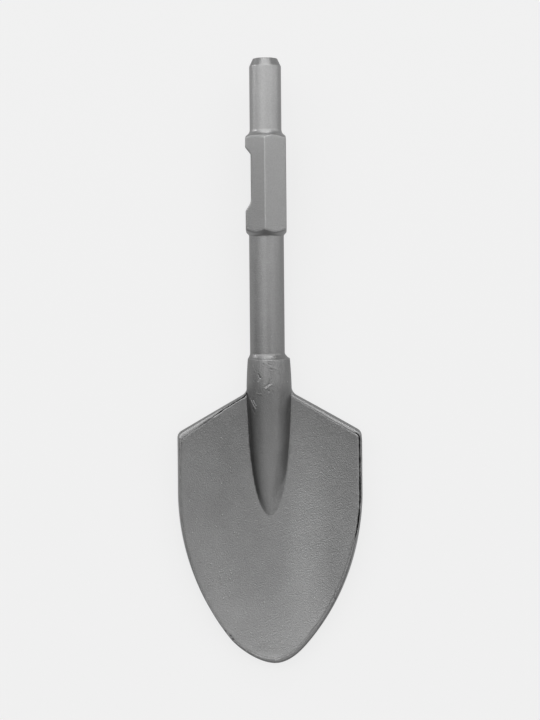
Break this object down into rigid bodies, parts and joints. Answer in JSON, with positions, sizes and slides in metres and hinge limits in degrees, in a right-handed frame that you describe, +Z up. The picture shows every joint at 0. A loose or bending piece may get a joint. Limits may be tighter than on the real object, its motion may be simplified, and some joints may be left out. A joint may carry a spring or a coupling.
{
  "type": "spade chisel",
  "caption": "Forged spade chisel: a pointed, dished blade with a half-round rib, on a hexagonal shank with a retainer notch, for cutting and digging clay with a power hammer.",
  "frame": {"origin": "on the floor, under the middle of the tool's bounding box as it lies on its back", "axes": "+Y along the tool towards its striking end, which is raised 4.45 degrees; +Z up, out of the hollow face; +X across the blade, away from the retainer notch"},
  "size_m": [0.1382, 0.4492, 0.0457],
  "materials": {
    "forged_steel": "blasted, matte to satin mid-grey forged steel"
  },
  "bodies": {
    "root": {"spade_chisel": "forged_steel"}
  },
  "joints": []
}
